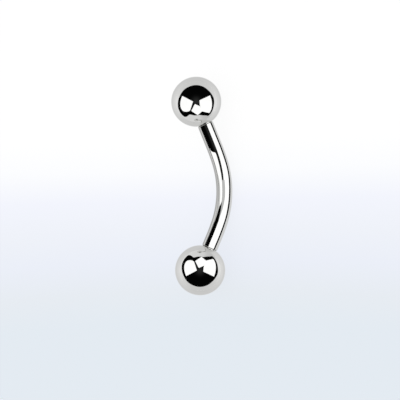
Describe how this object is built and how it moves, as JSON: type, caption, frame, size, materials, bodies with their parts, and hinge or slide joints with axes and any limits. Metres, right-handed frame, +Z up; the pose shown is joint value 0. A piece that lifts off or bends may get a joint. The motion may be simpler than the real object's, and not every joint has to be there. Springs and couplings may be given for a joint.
{
  "type": "belly button ring",
  "caption": "Curved barbell belly button ring of mirror-polished steel, with a ball that screws on to each end of its bent bar.",
  "frame": {"origin": "on the table that the ring lies on, under the middle of its bounding box", "axes": "+X along the line from the lower ball's centre to the upper ball's, as worn; +Z up from the table; the outside of the bend points forwards and down, towards -Y"},
  "size_m": [0.0218, 0.0052, 0.005],
  "materials": {
    "polished_steel": "mirror polish on stainless steel"
  },
  "bodies": {
    "bar": {"bar": "polished_steel"},
    "upper_ball": {"upper_ball": "polished_steel"},
    "lower_ball": {"lower_ball": "polished_steel"}
  },
  "joints": [
    {"name": "upper_ball_unscrew", "type": "slide", "parent": "bar", "child": "upper_ball", "axis": [0.9356, 0.2672, 0.2307], "range_m": [0, 0.003]},
    {"name": "lower_ball_unscrew", "type": "slide", "parent": "bar", "child": "lower_ball", "axis": [-0.9133, 0.3083, 0.2661], "range_m": [0, 0.003]}
  ]
}
